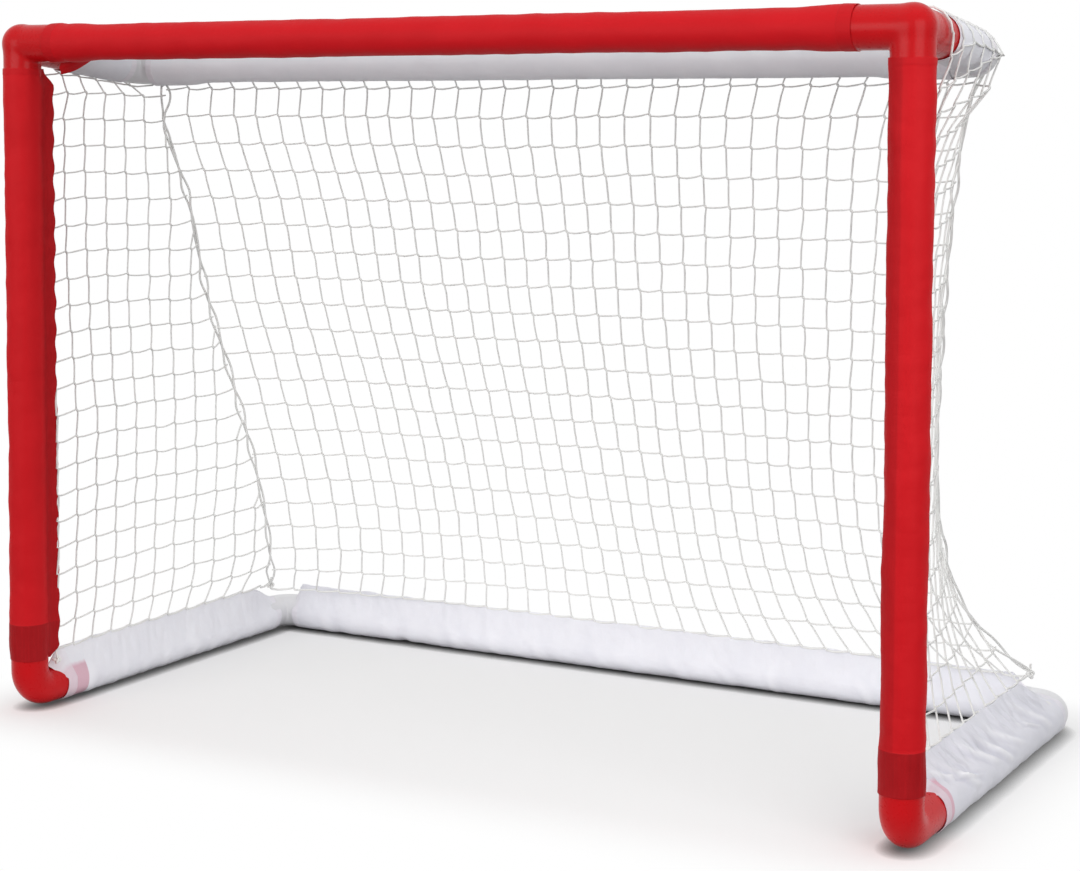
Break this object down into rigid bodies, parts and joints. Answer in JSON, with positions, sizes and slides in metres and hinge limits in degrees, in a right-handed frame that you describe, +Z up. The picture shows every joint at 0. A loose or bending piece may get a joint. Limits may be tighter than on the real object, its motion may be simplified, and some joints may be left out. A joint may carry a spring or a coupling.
{
  "type": "hockey goal net",
  "caption": "Free-standing street hockey goal with a push-fit tube frame in red and white cloth sleeves and a knotted white net tied to them.",
  "frame": {"origin": "on the floor, midway across the goal and midway from front to back", "axes": "+X to the right along the crossbar seen from in front, +Y to the back of the goal, +Z up"},
  "size_m": [1.5756, 0.7779, 1.12],
  "materials": {
    "tube_plastic": "extruded white PVC tube, satin",
    "red_plastic": "moulded red PVC fitting, glossy",
    "white_plastic": "moulded white PVC fitting, semi-gloss",
    "red_cloth": "woven red polyester with a slight sheen",
    "white_cloth": "thin woven white polyester",
    "net_cord": "knotted off-white braided cord"
  },
  "bodies": {
    "root": {"crossbar_tube": "tube_plastic", "left_post_tube": "tube_plastic", "right_post_tube": "tube_plastic", "left_base_tube": "tube_plastic", "right_base_tube": "tube_plastic", "rear_base_tube": "tube_plastic", "left_top_tube": "tube_plastic", "right_top_tube": "tube_plastic", "rear_top_tube": "tube_plastic", "top_left_corner": "red_plastic", "top_right_corner": "red_plastic", "bottom_left_elbow": "red_plastic", "bottom_right_elbow": "red_plastic", "rear_left_elbow": "white_plastic", "rear_right_elbow": "white_plastic", "top_rear_left_elbow": "white_plastic", "top_rear_right_elbow": "white_plastic", "crossbar_sleeve": "red_cloth", "left_post_sleeve": "red_cloth", "right_post_sleeve": "red_cloth", "left_base_sleeve": "white_cloth", "right_base_sleeve": "white_cloth", "rear_base_sleeve": "white_cloth", "left_top_sleeve": "white_cloth", "right_top_sleeve": "white_cloth", "rear_top_sleeve": "white_cloth", "back_net": "net_cord", "left_side_net": "net_cord", "right_side_net": "net_cord", "top_net": "net_cord", "left_seam_cord": "net_cord", "right_seam_cord": "net_cord", "net_knots": "net_cord"}
  },
  "joints": []
}
